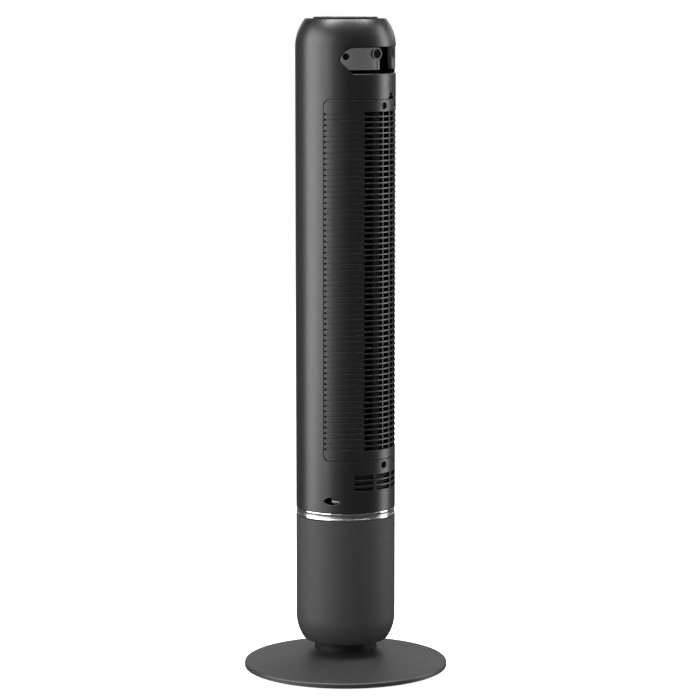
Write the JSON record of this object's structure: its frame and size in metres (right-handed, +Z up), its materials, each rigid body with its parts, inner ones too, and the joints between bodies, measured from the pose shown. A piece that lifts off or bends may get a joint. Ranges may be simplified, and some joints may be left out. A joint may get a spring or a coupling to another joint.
{
  "type": "tower fan",
  "caption": "Slim upright cross-flow fan: a cylindrical column with a ribbed inlet panel and a recessed rear grip, swinging on a round weighted base.",
  "frame": {"origin": "on the floor, under the middle of the round base", "axes": "+Z up along the column's axis, -Y towards the air outlet (front), +Y towards the inlet panel and grip (rear)"},
  "size_m": [0.3, 0.3, 0.96],
  "materials": {
    "base_plastic": "matt moulded, fine spark texture",
    "pedestal_plastic": "matt moulded, fine spark texture",
    "housing_plastic": "satin moulded",
    "panel_plastic": "satin moulded",
    "grille_plastic": "satin moulded",
    "handle_plastic": "matt moulded",
    "pocket_plastic": "matt moulded",
    "inner_plastic": "matt moulded",
    "impeller_plastic": "satin, glass-filled",
    "control_gloss": "polished black",
    "display_gloss": "polished smoked window",
    "button_plastic": "semi-gloss",
    "component_plastic": "moulded component cases",
    "capacitor_case": "moulded case",
    "gland_plastic": "moulded",
    "acetal": "moulded acetal",
    "circuit_board": "solder mask",
    "cable_jacket": "sleeved cable",
    "rubber": "matt",
    "ballast_iron": "as cast",
    "screw_steel": "zinc plated",
    "black_screw": "black oxide",
    "plated_steel": "zinc plated",
    "lamination_steel": "stacked laminations",
    "shaft_steel": "ground",
    "motor_alloy": "die cast",
    "copper_wire": "enamelled copper winding",
    "bronze": "sintered",
    "chrome_trim": "bright plated"
  },
  "bodies": {
    "base": {"base_cover": "base_plastic", "base_weight": "ballast_iron", "base_plate": "inner_plastic", "rubber_feet": "rubber", "base_screws": "screw_steel", "neck": "base_plastic", "neck_nut": "inner_plastic", "thrust_washer": "acetal", "fixed_gear": "acetal", "gear_screws": "screw_steel"},
    "column": {"pedestal_floor": "inner_plastic", "floor_screws": "screw_steel", "pedestal_shell": "pedestal_plastic", "swing_motor": "plated_steel", "swing_bracket": "plated_steel", "bracket_screws": "screw_steel", "coupling_plate": "inner_plastic", "coupling_screws": "screw_steel", "trim_ring": "chrome_trim", "power_board": "circuit_board", "power_parts": "component_plastic", "run_capacitor": "capacitor_case", "board_carrier": "inner_plastic", "housing": "housing_plastic", "rear_panel": "panel_plastic", "rear_screws": "black_screw", "front_grille": "grille_plastic", "outlet_vanes": "grille_plastic", "motor_plate": "inner_plastic", "motor_case": "motor_alloy", "stator_core": "lamination_steel", "stator_windings": "copper_wire", "motor_cover": "motor_alloy", "motor_grommets": "rubber", "motor_screws": "screw_steel", "air_guide": "inner_plastic", "air_tongue": "inner_plastic", "top_divider": "inner_plastic", "bearing_holder": "rubber", "top_bush": "bronze", "handle_plate": "handle_plastic", "handle_pocket": "pocket_plastic", "handle_screws": "black_screw", "control_panel": "control_gloss", "display_window": "display_gloss", "display_module": "component_plastic", "control_board": "circuit_board", "tact_switches": "component_plastic", "wiring_loom": "cable_jacket", "cord_gland": "gland_plastic"},
    "fan_rotor": {"impeller": "impeller_plastic", "impeller_hub": "motor_alloy", "motor_shaft": "shaft_steel", "rotor_core": "lamination_steel", "top_pin": "shaft_steel"},
    "pinion": {"swing_pinion": "acetal"},
    "power_key": {"power_button": "button_plastic"},
    "speed_key": {"speed_button": "button_plastic"},
    "swing_key": {"swing_button": "button_plastic"},
    "timer_key": {"timer_button": "button_plastic"}
  },
  "joints": [
    {"name": "swing", "type": "hinge", "parent": "base", "child": "column", "pos_m": [0, 0, 0.0475], "axis": [0, 0, 1], "range_deg": [-40, 40]},
    {"name": "pinion_spin", "type": "hinge", "parent": "column", "child": "pinion", "pos_m": [0, 0.0495, 0.056], "axis": [0, 0, 1], "range_deg": [-182, 182]},
    {"name": "fan_spin", "type": "hinge", "parent": "column", "child": "fan_rotor", "pos_m": [0, 0.006, 0.58], "axis": [0, 0, 1], "continuous": true},
    {"name": "power_press", "type": "slide", "parent": "column", "child": "power_key", "axis": [0, 0, -1], "range_m": [0, 0.0008], "stiffness_N_per_m": 600},
    {"name": "speed_press", "type": "slide", "parent": "column", "child": "speed_key", "axis": [0, 0, -1], "range_m": [0, 0.0008], "stiffness_N_per_m": 600},
    {"name": "swing_press", "type": "slide", "parent": "column", "child": "swing_key", "axis": [0, 0, -1], "range_m": [0, 0.0008], "stiffness_N_per_m": 600},
    {"name": "timer_press", "type": "slide", "parent": "column", "child": "timer_key", "axis": [0, 0, -1], "range_m": [0, 0.0008], "stiffness_N_per_m": 600}
  ],
  "couplings": [
    {"joint": "pinion_spin", "follows": "swing", "ratio": 4.5}
  ]
}
